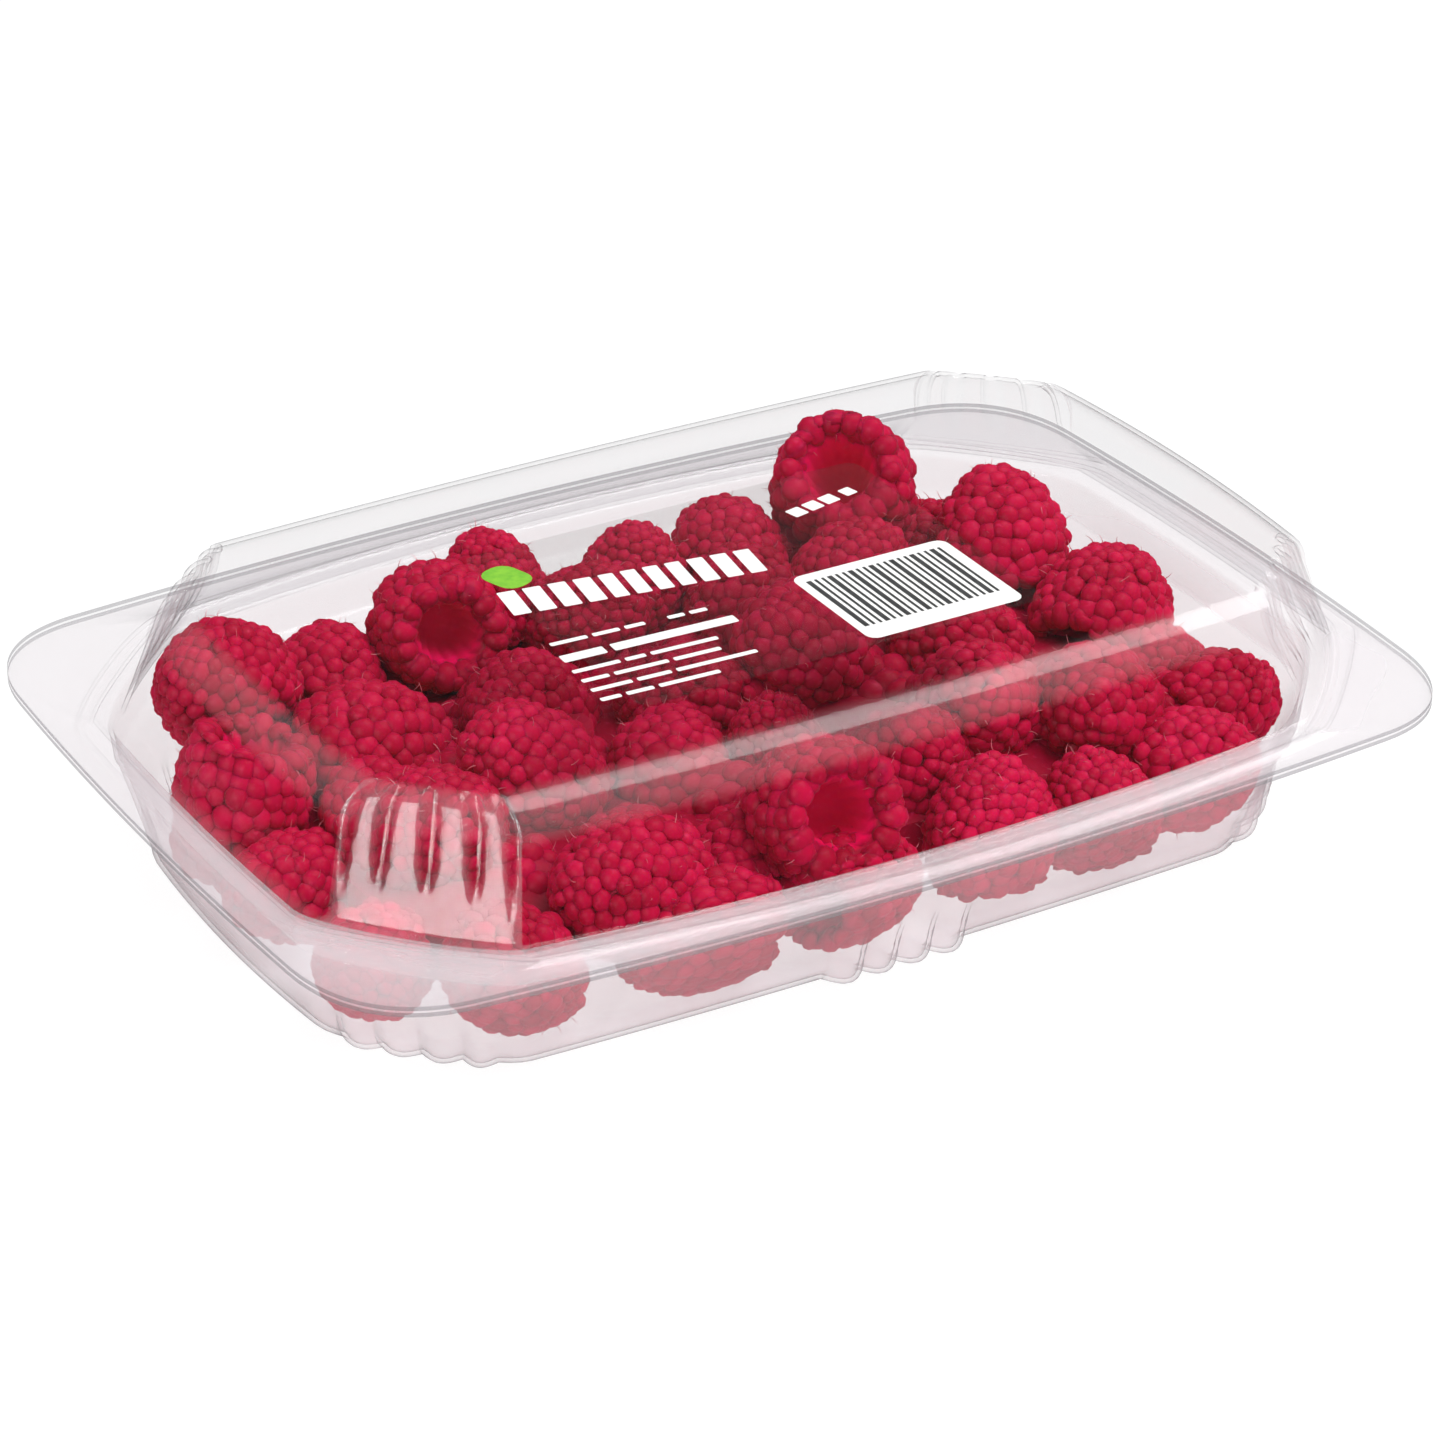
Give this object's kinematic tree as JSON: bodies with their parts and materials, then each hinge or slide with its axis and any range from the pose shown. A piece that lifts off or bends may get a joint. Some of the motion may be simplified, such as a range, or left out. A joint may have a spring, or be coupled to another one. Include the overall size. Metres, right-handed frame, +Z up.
{
  "type": "punnet of raspberries",
  "caption": "Shut clear plastic punnet filled with raspberries: a shallow ribbed tray, a domed lid and a clear film label on its flat top.",
  "frame": {"origin": "middle of the foot that the tray rests on, at the bottom of the part's box", "axes": "+X along the length, +Y to the back, +Z up"},
  "size_m": [0.1754, 0.1284, 0.0406],
  "materials": {
    "tray_plastic": "clear thermoformed sheet, slightly milky, glossy",
    "lid_plastic": "clear thermoformed sheet, glossy, hazy along its bends",
    "label_film": "thin clear film with plain printed bars",
    "raspberry_flesh": "moist drupelets, soft gloss, with fine hairs"
  },
  "bodies": {
    "root": {"tray": "tray_plastic", "lid": "lid_plastic", "label": "label_film", "raspberries": "raspberry_flesh"}
  },
  "joints": []
}
